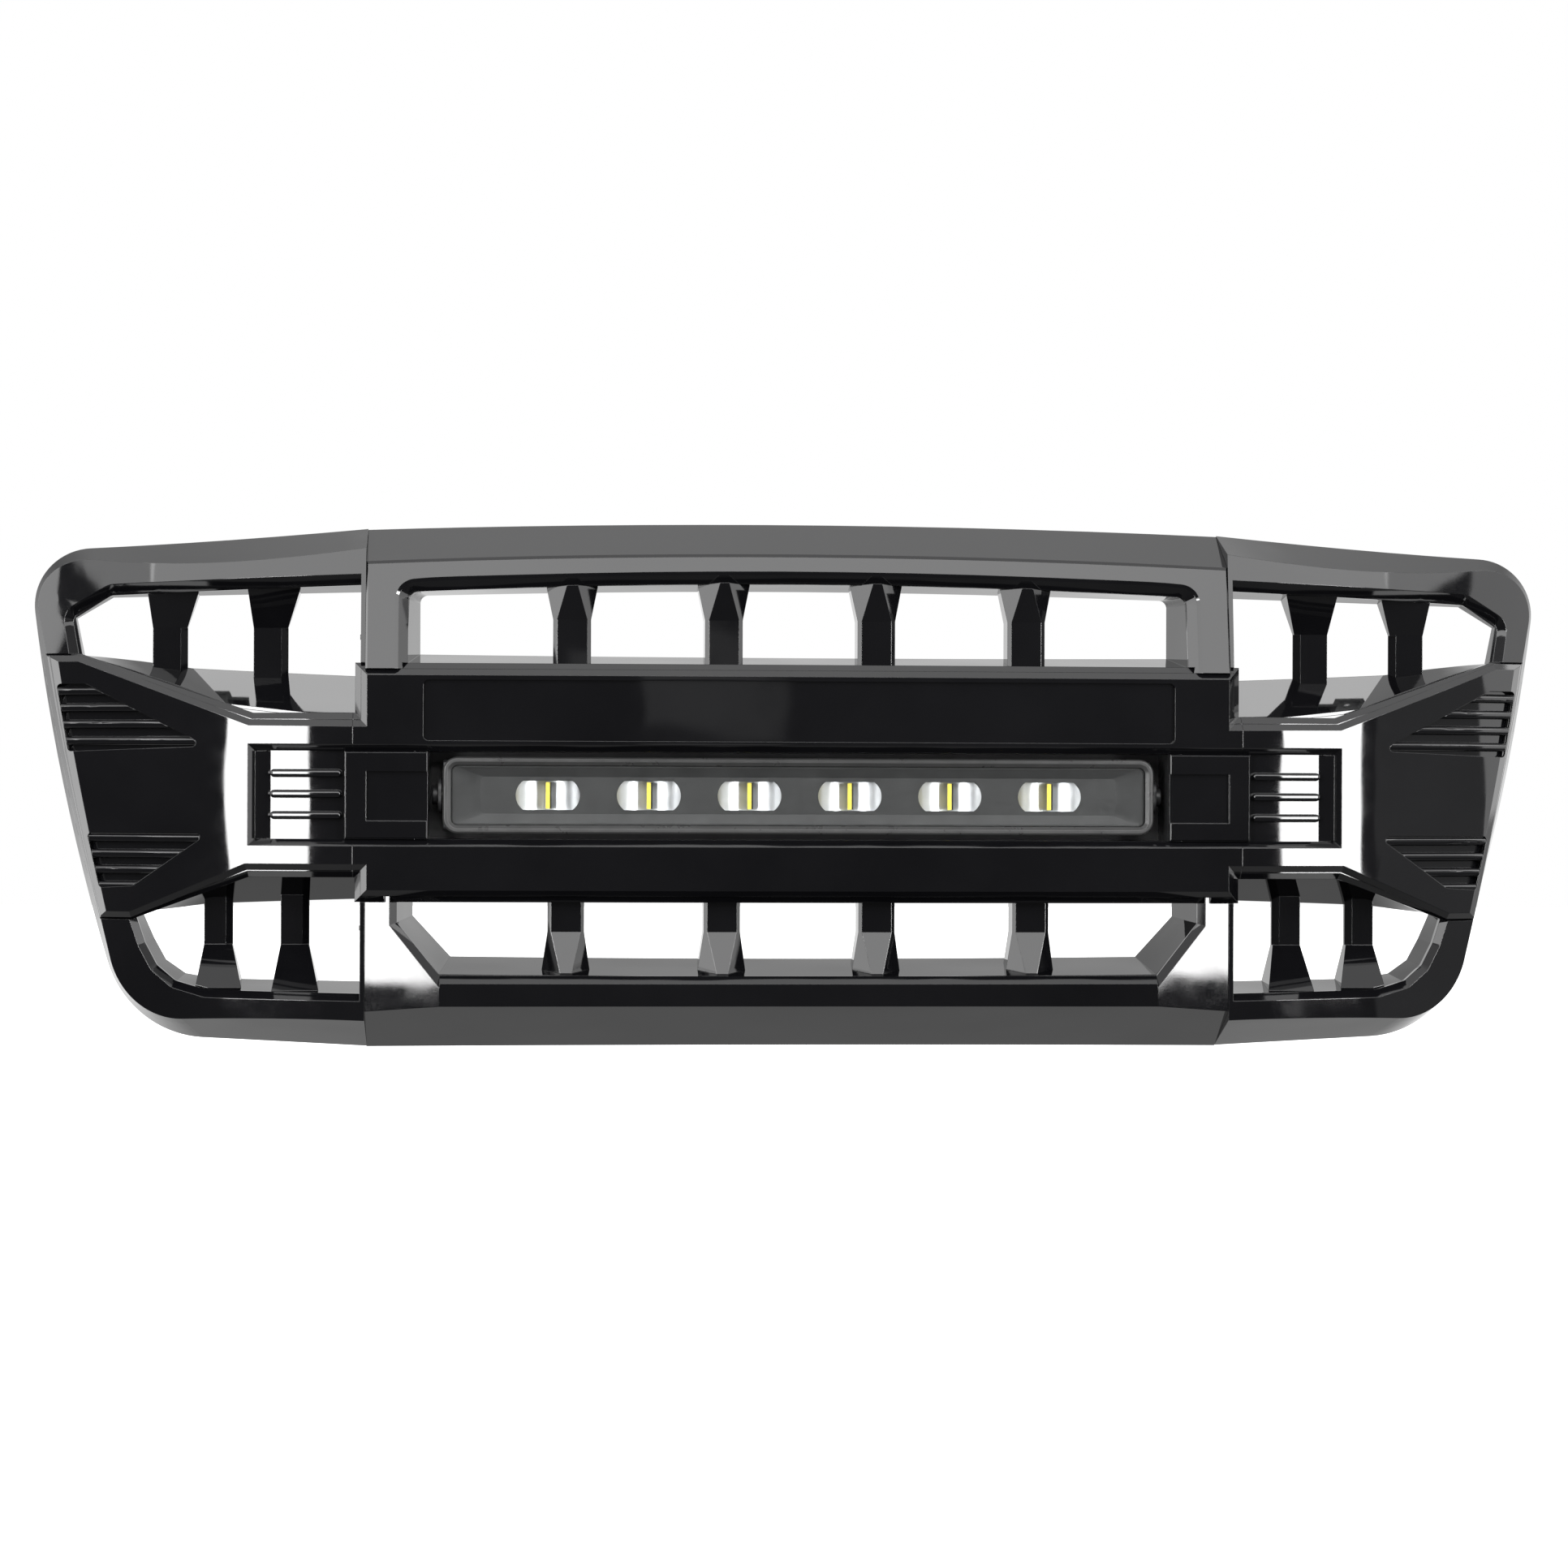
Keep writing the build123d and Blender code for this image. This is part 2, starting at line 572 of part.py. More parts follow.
def lower_bezel():
    """Raised lower frame of the centre section, with swept corners, skirt and window tunnel."""
    x0 = LOWER_CORNER_X
    body = centre_body() & block(-SEAM_X, SEAM_X, -REACH, REACH, -REACH, -LEAN_START - 1)
    opening = both_sides(LOWER_EDGE)
    window = prism(polygon(opening))
    middle = (body & skin(0, BEZEL_DEPTH) & block(-x0, x0, -REACH, REACH, -REACH, 0)) - window
    middle = chamfer(window_edges(middle, opening, 3.0), LOW_BEVEL)
    corner = (body & plan_prism(lower_corner())) - window
    corner = chamfer(window_edges(corner, opening, 7.5), LOW_BEVEL)
    front, rear = lower_corner()[0], lower_corner()[1]
    cut = plan_prism([front, rear, (rear[0], -REACH), (front[0], -REACH)])
    body = body - cut - mirrored(cut)
    flank = (body - centre_body(SKIN)) & behind(0) & ahead_of_rear()
    sides = wall_pair(-REACH, -LEAN_START) & body & behind(0) & ahead_of_rear(6.0)
    outer = window_space(grown(both_sides(LOWER_NEAR), WALL), grown(both_sides(LOWER_FAR), WALL))
    walls = (outer - lower_space()) & behind(BEZEL_DEPTH) & ahead_of_rear(4.0)
    whole = middle + corner + mirrored(corner) + flank + sides + walls + clip_bosses(CLIP_Z[1], 9.0, body)
    return rest_of(whole - crossbar_hull() - seam_bores() - clip_bores())


def bay_outline(grow=0.0, half=BAY_HALF):
    """Outline of the light bay."""
    return rectangle(-half - grow, half + grow, BAY_Z[0] - grow, BAY_Z[1] + grow)


def gill_outlines():
    """The four gill openings, right pair first."""
    right = [UPPER_GILL, LOWER_GILL]
    return right + [[(-x, z) for x, z in outline] for outline in right]


def crossbar_panel():
    """Bow-tie crossbar: a stepped, hollow panel with the badge recess, light bay and gills cut in it."""
    body = whole_body()
    outline = both_sides(BOW_TIE)
    face = prism(polygon(outline)) & upright_skin(0, CROSSBAR_STEP) & body
    face = chamfer(front_edges(face, 0, upright_depth), EDGE)
    step_outline = both_sides(BOW_STEP)
    step = prism(polygon(step_outline)) & upright_skin(CROSSBAR_STEP, CROSSBAR_DEPTH) & body
    step = chamfer(front_edges(step, CROSSBAR_STEP, upright_depth), EDGE)
    inside = whole_body(SKIN)
    hollow = prism(polygon(grown(outline, -FACE_RIM))) & upright_skin(SKIN, REACH) & inside
    deep = prism(polygon(grown(step_outline, -SKIN))) & upright_skin(CROSSBAR_STEP + SKIN, REACH) & inside
    rim = prism(bay_outline(BAY_RIM)) & upright_skin(SKIN - 1, BAY_LEVEL)
    panel = (face + step) - hollow - deep + rim
    panel -= prism(bay_outline())
    bay_edges = front_edges(panel, 0, upright_depth,
                            inside=lambda p: abs(p.X) < BAY_HALF + 1 and BAY_Z[0] - 1 < p.Z < BAY_Z[1] + 1)
    panel = chamfer(bay_edges, BAY_BORDER)
    panel -= prism(rectangle(-BADGE_HALF, BADGE_HALF, *BADGE_Z, BADGE_CORNER), -REACH, 30.0)
    for gill in gill_outlines():
        panel -= prism(polygon(gill, GILL_CORNER))
    return rest_of(panel - bay_screw_bores())


def crossbar_pieces():
    """The crossbar as it is moulded: two beams across the centre and an arm at each end."""
    panel = crossbar_panel()
    middle = sum(BAY_Z) / 2
    arm = rest_of(panel & block(ARM_X, REACH * 3, -REACH, REACH, -REACH, REACH))
    return {
        "upper_crossbar_beam": rest_of(panel & block(-ARM_X, ARM_X, -REACH, REACH, middle, REACH)),
        "lower_crossbar_beam": rest_of(panel & block(-ARM_X, ARM_X, -REACH, REACH, -REACH, middle)),
        "right_crossbar_arm": arm,
        "left_crossbar_arm": mirrored(arm),
    }


def bay_screw_places():
    """Screws that hold the tray and the end panels to the crossbar, as (x, z)."""
    return [(x, z) for x in (-380, -300, -180, -60, 60, 180, 300, 380)
            for z in (BAY_Z[0] - BAY_SCREW_OFFSET, BAY_Z[1] + BAY_SCREW_OFFSET)]


def bay_screw_bores():
    """Blind holes for the screws of the light bay."""
    return [rod(1.3, x, sweep_back(x) + SKIN + 1, z, 60.0) for x, z in bay_screw_places()]


def badge_plate():
    """Smooth panel behind the badge recess."""
    low = BAY_Z[1] + BAY_RIM + 0.1
    plate = prism(rectangle(-BADGE_HALF - 5, BADGE_HALF + 5, low, BADGE_Z[1] + 3, BADGE_CORNER))
    return plate & upright_skin(SKIN, SKIN + BADGE_PLATE)


def light_bay_tray():
    """Open box behind the crossbar that houses the light bar."""
    half = COVER_X[0]
    outer = prism(bay_outline(TRAY_WALL, half), 0, TRAY_BACK + TRAY_WALL) & behind(BAY_LEVEL, 0.0)
    inner = prism(bay_outline(0, half), -REACH, TRAY_BACK)
    window = prism(rectangle(TRAY_FLANGE - half, half - TRAY_FLANGE, BAY_Z[0] + 9, BAY_Z[1] - 9, 6.0))
    lip = (prism(bay_outline(BAY_RIM, half + TRAY_WALL)) - prism(bay_outline(0, half))) \
        & upright_skin(BAY_LEVEL, BAY_LEVEL + TRAY_WALL)
    bracket_holes = [rod(2.1, side * x, 50.0, BAR_Z + dz, 60.0) for side in (-1, 1)
                     for x, dz in bracket_screw_places()]
    return (outer - inner - window) + lip - bracket_holes - bay_screw_bores()


def bracket_screw_places():
    """Screws of the right aim bracket, as x and height above the light bar's axis."""
    return [(BAR_HALF - 10.0, 8.0), (BAR_HALF - 10.0, -8.0)]


def end_panel():
    """Right end panel of the light bay, with three rounded bars."""
    x0, x1 = COVER_X[0] + TRAY_WALL, BAY_HALF + BAY_RIM
    base = prism(rectangle(x0 + 0.2 + BAY_RIM, x1, BAY_Z[0] - BAY_RIM, BAY_Z[1] + BAY_RIM)) \
        & upright_skin(BAY_LEVEL, BAY_LEVEL + TRAY_WALL)
    for z in PANEL_RIB_Z:
        half = PANEL_RIB / 2
        capsule = rectangle(COVER_X[1] + 2, PANEL_RIB_X, z - half, z + half, PANEL_RIB * 0.49)
        bar = prism(capsule) & upright_skin(COVER_LEVEL + 1, BAY_LEVEL)
        base += fillet(front_edges(bar, COVER_LEVEL + 1, upright_depth), PANEL_RIB * 0.4)
    inner_y = sweep_back(PANEL_RIB_X) + BAY_LEVEL
    outer_y = sweep_back(RAMP_X) + RAMP_LEVEL
    back_y = sweep_back(RAMP_X) + BAY_LEVEL + 1
    ramp = [(PANEL_RIB_X, inner_y), (RAMP_X, outer_y), (RAMP_X, back_y), (PANEL_RIB_X, inner_y + 1)]
    base += plan_prism(ramp, BAY_Z[0] + COVER_GAP, BAY_Z[1] - COVER_GAP)
    return base - bay_screw_bores()


def bay_cover():
    """Right C-shaped cover between the light bar and the end panel."""
    plate = prism(rectangle(COVER_X[0], COVER_X[1], BAY_Z[0] + COVER_GAP, BAY_Z[1] - COVER_GAP)) \
        & upright_skin(COVER_LEVEL, BAY_LEVEL)
    plate = chamfer(front_edges(plate, COVER_LEVEL, upright_depth), 1.0)
    notch = prism(rectangle(COVER_X[0] - 5, NOTCH_X, *NOTCH_Z))
    return plate - (notch & upright_skin(-REACH / 10, COVER_LEVEL + NOTCH_DEPTH))


def gill_insert(outline, first, pitch):
    """Louvred insert behind one gill opening."""
    base = prism(polygon(grown(outline, GILL_FLANGE))) & upright_skin(GILL_LEVEL, GILL_LEVEL + GILL_PLATE)
    base &= wing_body(SKIN + GILL_GAP)
    opening = prism(polygon(grown(outline, -GILL_GAP), GILL_CORNER - GILL_GAP))
    for index in range(SLAT_COUNT):
        z = first - index * pitch
        slat = prism(rectangle(*SLAT_REACH, z - SLAT / 2, z + SLAT / 2)) & upright_skin(SLAT_LEVEL, GILL_LEVEL)
        slat = fillet(front_edges(slat, SLAT_LEVEL, upright_depth), SLAT_ROUND)
        base += slat & opening
    return base


def rib(x, space, foot, crease, crown, narrow, wide, level, lean, depth, nose):
    """An upright rib across a centre window: past its crease it widens and comes forward to the crown."""
    outline = prism(polygon([(-narrow, foot), (narrow, foot), (narrow, crease), (wide, crown), (-wide, crown),
                             (-narrow, crease)]))
    side = [(lean, foot), (lean, crease), (0, crown), (depth, crown), (depth, foot)]
    profile = side_prism(side, -wide, wide)
    ridge = plan_prism([(-wide, wide * nose), (0, 0), (wide, wide * nose), (wide, FAR), (-wide, FAR)])
    shape = Pos(x, sweep_back(x) + level, 0) * (outline & profile & ridge)
    return rest_of(shape & space & ahead_of_rear(4.0))


def wing_rib(x, lean, space, foot, crease, crown, inner, outer, inner_crown, outer_crown, level, bevel):
    """A flat-fronted rib across a wing window, bevelled below its crease on the side towards the centre."""
    plan = [(-inner, lean), (outer, lean), (outer, FAR), (-inner - bevel, FAR), (-inner - bevel, lean + bevel)]
    shape = plan_prism(plan, min(foot, crease), max(foot, crease))
    front = [(-inner - bevel, crease), (outer, crease), (outer_crown, crown), (-inner_crown, crown)]
    head = prism(polygon(front))
    side = [(lean, crease), (0, crown), (FAR, crown), (FAR, crease)]
    shape += head & side_prism(side, -inner_crown, outer_crown)
    return rest_of((Pos(x, sweep_back(x) + level, 0) * shape) & space & ahead_of_rear(4.0))


def aim_bracket():
    """Right steel L-bracket: the light bar pivots in its side plate."""
    x0 = BAR_HALF + BRACKET_GAP
    side = block(x0, x0 + BRACKET, PIVOT_Y - 11, TRAY_BACK, BAR_Z - 13, BAR_Z + 13)
    nose = side.edges().filter_by(Axis.X).sort_by(Axis.Y)[:2]
    side = fillet(nose, 9.0)
    foot = block(x0 - 26, x0 + BRACKET, TRAY_BACK - BRACKET, TRAY_BACK, BAR_Z - 13, BAR_Z + 13)
    holes = [rod(2.1, x, 40.0, BAR_Z + dz, 60.0) for x, dz in bracket_screw_places()]
    pivot = rod(PIVOT_RADIUS + PIVOT_CLEARANCE, x0 - 5, PIVOT_Y, BAR_Z, 20.0, (1, 0, 0))
    return side + foot - holes - pivot


def bar_outline(inset=0.0, corner=None):
    """Front outline of the light bar, moved in by inset."""
    radius = BAR_CORNER - inset if corner is None else corner
    half = BAR_HALF - inset
    return rectangle(-half, half, BAR_Z - BAR_HEIGHT / 2 + inset, BAR_Z + BAR_HEIGHT / 2 - inset, radius)


def bar_bezel():
    """Stepped front rim of the light bar."""
    ring = prism(bar_outline(), BAR_FRONT, BAR_BODY_FRONT)
    ring = chamfer(ring.edges().group_by(Axis.Y)[0], 1.2)
    mouth = prism(bar_outline(BAR_RIM), -REACH, REACH)
    step = funnel(bar_outline(BAR_RIM - 2.5), bar_outline(BAR_RIM), BAR_FRONT, BAR_FRONT + 2.5)
    seat = prism(bar_outline(BAR_RIM - 1.5), LENS_FRONT, REACH)
    return ring - mouth - step - seat


def bar_housing():
    """Finned aluminium housing of the light bar, open at the front."""
    half = BAR_HALF - END_CAP
    z0, z1 = BAR_Z - BAR_HEIGHT / 2 + 2, BAR_Z + BAR_HEIGHT / 2 - 2
    body = block(-half, half, BAR_BODY_FRONT + GASKET, BAR_BODY_BACK, z0, z1)
    pocket = block(-half + 6, half - 6, BAR_BODY_FRONT, BAR_BODY_BACK - 4, z0 + 5, z1 - 5)
    pitch = (z1 - z0 - FIN) / (FIN_COUNT - 1)
    for index in range(FIN_COUNT):
        z = z0 + index * pitch
        body += block(-half, half, BAR_BODY_BACK, FIN_BACK, z, z + FIN)
    holes = [rod(1.3, side * half - 6, y, z, 12.0, (1, 0, 0))
             for side in (-1, 1) for y, z in end_cap_screw_places()]
    pivots = [rod(PIVOT_RADIUS + 0.05, side * half - 15, PIVOT_Y, BAR_Z, 30.0, (1, 0, 0)) for side in (-1, 1)]
    boss = rod(9.0, GLAND_X, BAR_BODY_BACK - 2, BAR_Z, FIN_BACK - BAR_BODY_BACK + 2)
    port = rod(5.0, GLAND_X, BAR_BODY_BACK - 6, BAR_Z, 40.0)
    return body + boss - pocket - holes - pivots - port


def end_cap_screw_places():
    """Screws of one end cap, as (y, z)."""
    reach = BAR_HEIGHT / 2 - 6
    return [(PIVOT_Y + dy, BAR_Z + dz) for dy in (-3.0, 3.0) for dz in (-reach, reach)]


def end_cap():
    """Right end cap of the light bar."""
    x0, x1 = BAR_HALF - END_CAP, BAR_HALF
    z0, z1 = BAR_Z - BAR_HEIGHT / 2 + 2, BAR_Z + BAR_HEIGHT / 2 - 2
    cap = block(x0, x1, BAR_BODY_FRONT + GASKET, FIN_BACK, z0, z1)
    cap = fillet(cap.edges().filter_by(Axis.X), 3.0)
    cap = chamfer(cap.faces().sort_by(Axis.X)[-1].edges(), 0.8)
    for y, z in end_cap_screw_places():
        cap -= rod(1.6, x0 - 1, y, z, 10.0, (1, 0, 0))
        cap -= rod(2.9, x1 - 1.8, y, z, 10.0, (1, 0, 0))
    return cap - rod(PIVOT_RADIUS + 0.05, x0 - 1, PIVOT_Y, BAR_Z, 10.0, (1, 0, 0))


def end_cap_screw(side, y, z):
    """One end cap screw, sunk in the cap."""
    return screw(side * (BAR_HALF - 1.8), y, z, 8.0, 1.25, 2.7, 1.5, (-side, 0, 0))


def pivot_bolt(side):
    """Pivot bolt of one end, screwed into the light bar, with its head outside the aim bracket."""
    head_x = BAR_HALF + BRACKET_GAP + BRACKET + 0.6
    tip_x = BAR_HALF - END_CAP - 12
    bolt = rod(PIVOT_RADIUS, tip_x, PIVOT_Y, BAR_Z, head_x - tip_x, (1, 0, 0))
    head = rod(7.0, head_x, PIVOT_Y, BAR_Z, 4.0, (1, 0, 0))
    plane = Plane(origin=(head_x + 4, PIVOT_Y, BAR_Z), z_dir=(-1, 0, 0))
    socket = plane * extrude(RegularPolygon(3.0, 6), amount=2.5)
    bolt = bolt + chamfer(head.edges().sort_by(Axis.X)[-1:], 0.8) - socket
    return bolt if side > 0 else mirrored(bolt)


def lamp_centres():
    """Lamp positions along the light bar."""
    return [(index - (LAMP_COUNT - 1) / 2) * LAMP_PITCH for index in range(LAMP_COUNT)]


def lamp_outline(x, grow=0.0):
    """A lamp window: straight along its top and bottom, with bowed ends."""
    straight, reach, rise = LAMP_STRAIGHT, LAMP_WIDTH / 2 + grow, LAMP_HEIGHT / 2 + grow
    edges = [Line((-straight, rise), (straight, rise)),
             ThreePointArc((straight, rise), (reach, 0), (straight, -rise)),
             Line((straight, -rise), (-straight, -rise)),
             ThreePointArc((-straight, -rise), (-reach, 0), (-straight, rise))]
    return Pos(x, BAR_Z) * make_face(edges)


def bar_face_plate():
    """Satin mask behind the lens: a shallow tray with the six lamp windows in its floor."""
    plate = prism(bar_outline(BAR_RIM + 0.3), FACE_BORDER, FACE_LEVEL + FACE_PLATE)
    half, rise = BAR_HALF - BAR_RIM - FACE_LIP, BAR_HEIGHT / 2 - BAR_RIM - FACE_LIP
    mouth = rectangle(-half, half, BAR_Z - rise, BAR_Z + rise, FACE_CORNER)
    half, rise = half - FACE_END_SLOPE, rise - FACE_SLOPE
    floor = rectangle(-half, half, BAR_Z - rise, BAR_Z + rise, FACE_CORNER)
    plate -= funnel(mouth, floor, FACE_BORDER, FACE_LEVEL)
    for x in lamp_centres():
        plate -= prism(lamp_outline(x), 0, 60)
    return plate


def trough(x, grow=0.0):
    """The space of a reflector: its back is bowed in plan and straight from top to bottom."""
    near, half = FACE_LEVEL + FACE_PLATE, LAMP_WIDTH / 2 + grow
    bow = ThreePointArc((x - half, near), (x, near + REFLECTOR_DEPTH + grow), (x + half, near))
    plan = make_face([bow, Line(bow @ 1, bow @ 0)])
    return extrude(Pos(0, 0, BAR_Z - LAMP_HEIGHT) * plan, amount=2 * LAMP_HEIGHT)


def reflector(x):
    """Chromed reflector of one lamp."""
    outer = prism(lamp_outline(x, REFLECTOR)) & trough(x, REFLECTOR)
    inner = prism(lamp_outline(x, 0.1)) & trough(x)
    reach = LED_HALF + 0.3
    slot = block(x - 1.8, x + 3.0, FACE_LEVEL, FACE_LEVEL + BLADE_DEPTH + 0.3, BAR_Z - reach, BAR_Z + reach)
    return outer - inner - slot


def led_blade(x):
    """Upright copper-cored blade that carries the LEDs in the middle of a reflector."""
    near, far = FACE_LEVEL + 2, FACE_LEVEL + BLADE_DEPTH
    return block(x + 1.5, x + 2.7, near, far, BAR_Z - LED_HALF, BAR_Z + LED_HALF)


def led_emitter(x):
    """Phosphor strip on the side of one blade."""
    return block(x - 1.5, x + 1.5, FACE_LEVEL + 2, FACE_LEVEL + 4.0, BAR_Z - LED_HALF, BAR_Z + LED_HALF)


def led_board():
    """Circuit board across the back of the reflectors."""
    back = BAR_BODY_BACK - 4
    return block(-BAR_HALF + 18, BAR_HALF - 18, back - LED_BOARD, back, BAR_Z - 19, BAR_Z + 19)


def cable_gland():
    """Cable gland on the back of the housing."""
    body = rod(4.95, GLAND_X, BAR_BODY_BACK - 4, BAR_Z, 14.0)
    plane = Plane(origin=(GLAND_X, FIN_BACK, BAR_Z), z_dir=(0, 1, 0))
    nut = plane * extrude(RegularPolygon(8.0, 6), amount=6.0)
    dome = fillet(rod(6.4, GLAND_X, FIN_BACK + 6, BAR_Z, 7.0).edges().sort_by(Axis.Y)[-1:], 2.0)
    return body + nut + dome - rod(2.6, GLAND_X, 0, BAR_Z, REACH)


def mounting_bracket(x, z):
    """Hat-shaped steel bracket with the fixing hole in its raised middle."""
    base = MOUNT_PLANE - HAT_RISE - BRACKET_PLATE
    wide = FOOT_X + 7
    top = [(wide, base), (wide, base + BRACKET_PLATE), (HAT_HALF + 2, base + BRACKET_PLATE),
           (HAT_HALF, MOUNT_PLANE)]
    under = [(HAT_HALF - BRACKET_PLATE, MOUNT_PLANE - BRACKET_PLATE), (HAT_HALF - 1, base)]
    half = top + under
    points = half[:4] + [(-a, b) for a, b in reversed(half[:4])]
    inner = [(-a, b) for a, b in reversed(under)][:2]
    ring = points + inner + under
    hat = Pos(x, 0, 0) * plan_prism(ring, z - HAT_WIDTH / 2, z + HAT_WIDTH / 2)
    holes = [rod(2.3, x + foot, 0, z, REACH) for foot in (-FOOT_X, FOOT_X)]
    return hat - holes - rod(MOUNT_HOLE, x, 0, z, REACH)


def retaining_clip(side, z):
    """Push-in plastic retainer: flange, barbed stem behind and root in the boss."""
    x = side * CLIP_X
    clip = rod(3.0, x, CLIP_BACK - 12, z, 12.0) + rod(8.5, x, CLIP_BACK, z, 1.8)
    for index in range(3):
        start = CLIP_BACK + 3.0 + index * 3.6
        clip += Plane(origin=(x, start, z), z_dir=(0, 1, 0)) * Pos(0, 0, 1.3) * Cone(4.6, 3.0, 2.6)
    return clip + rod(2.6, x, CLIP_BACK, z, 15.0)


def write_part(name, shape):
    """Move a piece to the frame of the fixing holes and write it."""
    solids = [Pos(0, -MOUNT_PLANE, 0) * solid for piece in listed(shape) for solid in piece.solids()]
    whole = Compound(children=solids) if len(solids) > 1 else solids[0]
    export_step(whole, os.path.join(PARTS, name + ".step"))


def listed(shape):
    """A list of pieces, whether one or several are given."""
    return shape if isinstance(shape, list) else [shape]


def bar_gasket():
    """Foam gasket between the light bar's rim and its housing."""
    half, rise = BAR_HALF - 1, BAR_HEIGHT / 2 - 2.2
    ring = rectangle(-half, half, BAR_Z - rise, BAR_Z + rise, 9.0)
    return prism(ring, BAR_BODY_FRONT, BAR_BODY_FRONT + GASKET) - prism(bar_outline(BAR_RIM + 1.0))


def bar_lens():
    """Clear flat lens of the light bar."""
    return prism(bar_outline(BAR_RIM - 1.4), LENS_FRONT, LENS_FRONT + LENS)


def shell_pieces():
    """The moulded pieces of the grille, by name."""
    wing_zone = block(SEAM_X + SEAM_WALL, REACH * 3, 0, FAR, -REACH, REACH)
    hull = crossbar_hull()
    wing, upper, lower = wing_frame(), upper_bezel(), lower_bezel()
    pieces = {
        "upper_bezel": upper,
        "lower_bezel": lower,
        **crossbar_pieces(),
        "badge_plate": badge_plate(),
        "light_bay_tray": light_bay_tray(),
    }
    paired = {
        "wing_frame": wing,
        "end_panel": end_panel(),
        "bay_cover": bay_cover(),
        "upper_gill_insert": gill_insert(UPPER_GILL, 67.0, 12.3),
        "lower_gill_insert": gill_insert(LOWER_GILL, -41.5, 11.8),
    }
    upper_wing = (window_space(WING_UPPER_NEAR, WING_UPPER_FAR) & wing_zone) - hull
    for index, (x, lean) in enumerate(WING_UPPER_RIBS):
        shape = wing_rib(x, lean, upper_wing, **WING_UPPER_RIB)
        paired[f"upper_wing_rib_{index + 1}"] = rest_of(shape - wing)
    lower_wing = (window_space(WING_LOWER_NEAR, WING_LOWER_FAR) & wing_zone) - hull
    for index, (x, lean) in enumerate(WING_LOWER_RIBS):
        shape = wing_rib(x, lean, lower_wing, **WING_LOWER_RIB)
        paired[f"lower_wing_rib_{index + 1}"] = rest_of(shape - wing)
    for name, shape in paired.items():
        pieces["right_" + name] = shape
        pieces["left_" + name] = mirrored(shape)
    for index, x in enumerate(UPPER_RIBS):
        pieces[f"upper_rib_{index + 1}"] = rest_of(rib(x, upper_space() - hull, **UPPER_RIB) - upper)
    for index, x in enumerate(LOWER_RIBS):
        pieces[f"lower_rib_{index + 1}"] = rest_of(rib(x, lower_space() - hull, **LOWER_RIB) - lower)
    return pieces


def hardware_pieces():
    """Brackets, clips and screws of the grille, by name."""
    foot_back = MOUNT_PLANE - HAT_RISE
    bay_screws = [screw(x, sweep_back(x) + BAY_LEVEL + TRAY_WALL + (0.4 if abs(x) > CENTRE_HALF else 0.1), z,
                        5.5, 1.2, 2.1, 1.6) for x, z in bay_screw_places()]
    seam_screws = [screw(side * (SEAM_X - SKIN), y, z, SEAM_SCREW_LENGTH, direction=(side, 0, 0))
                   for side in (-1, 1) for y, z in SEAM_SCREWS]
    bracket_screws = [screw(side * x, TRAY_BACK - BRACKET, BAR_Z + dz, 9.0, direction=(0, 1, 0))
                      for side in (-1, 1) for x, dz in bracket_screw_places()]
    brackets = [mounting_bracket(side * MOUNT_X, z) for side in (-1, 1) for z in (-MOUNT_Z, MOUNT_Z)]
    return {
        "aim_brackets": [aim_bracket(), mirrored(aim_bracket())],
        "aim_bracket_screws": bracket_screws,
        "mounting_brackets": brackets,
        "mounting_screws": [screw(x, foot_back, z, 12.0) for x, z in mount_screw_places()],
        "retaining_clips": [retaining_clip(side, z) for side in (-1, 1) for z in CLIP_Z],
        "bay_screws": bay_screws,
        "seam_screws": seam_screws,
    }


def light_bar_pieces():
    """The light bar, by name."""
    cap = end_cap()
    pieces = {
        "bar_housing": bar_housing(),
        "bar_bezel": bar_bezel(),
        "bar_gasket": bar_gasket(),
        "bar_lens": bar_lens(),
        "bar_face_plate": bar_face_plate(),
        "led_board": led_board(),
        "led_blades": [led_blade(x) for x in lamp_centres()],
        "led_emitters": [led_emitter(x) for x in lamp_centres()],
        "right_end_cap": cap,
        "left_end_cap": mirrored(cap),
        "end_cap_screws": [end_cap_screw(side, y, z) for side in (-1, 1) for y, z in end_cap_screw_places()],
        "pivot_bolts": [pivot_bolt(side) for side in (-1, 1)],
        "cable_gland": cable_gland(),
    }
    for index, x in enumerate(lamp_centres()):
        pieces[f"reflector_{index + 1}"] = reflector(x)
    return pieces


for piece_name, piece in {**shell_pieces(), **hardware_pieces(), **light_bar_pieces()}.items():
    write_part(piece_name, piece)
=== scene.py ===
import json
import math

import bpy
from mathutils import Matrix, Vector


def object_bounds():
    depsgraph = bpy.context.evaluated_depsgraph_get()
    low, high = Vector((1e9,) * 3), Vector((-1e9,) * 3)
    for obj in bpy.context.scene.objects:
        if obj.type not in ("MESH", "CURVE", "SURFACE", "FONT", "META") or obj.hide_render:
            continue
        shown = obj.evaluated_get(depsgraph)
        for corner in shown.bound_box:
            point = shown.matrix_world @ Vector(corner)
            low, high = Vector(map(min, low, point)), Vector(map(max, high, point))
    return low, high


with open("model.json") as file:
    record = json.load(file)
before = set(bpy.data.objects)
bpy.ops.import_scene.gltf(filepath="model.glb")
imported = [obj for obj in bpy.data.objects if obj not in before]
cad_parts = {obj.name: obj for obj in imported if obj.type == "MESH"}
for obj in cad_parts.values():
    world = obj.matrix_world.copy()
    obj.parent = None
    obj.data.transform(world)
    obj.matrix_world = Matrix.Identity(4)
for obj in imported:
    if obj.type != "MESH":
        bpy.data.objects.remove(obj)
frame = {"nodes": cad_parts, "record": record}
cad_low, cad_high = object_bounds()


# ---------------------------------------------------------------- materials

# Nearly all of a noise's values lie between these two, so colours and roughness run from one to the other.
NOISE_LOW, NOISE_HIGH = 0.3, 0.7


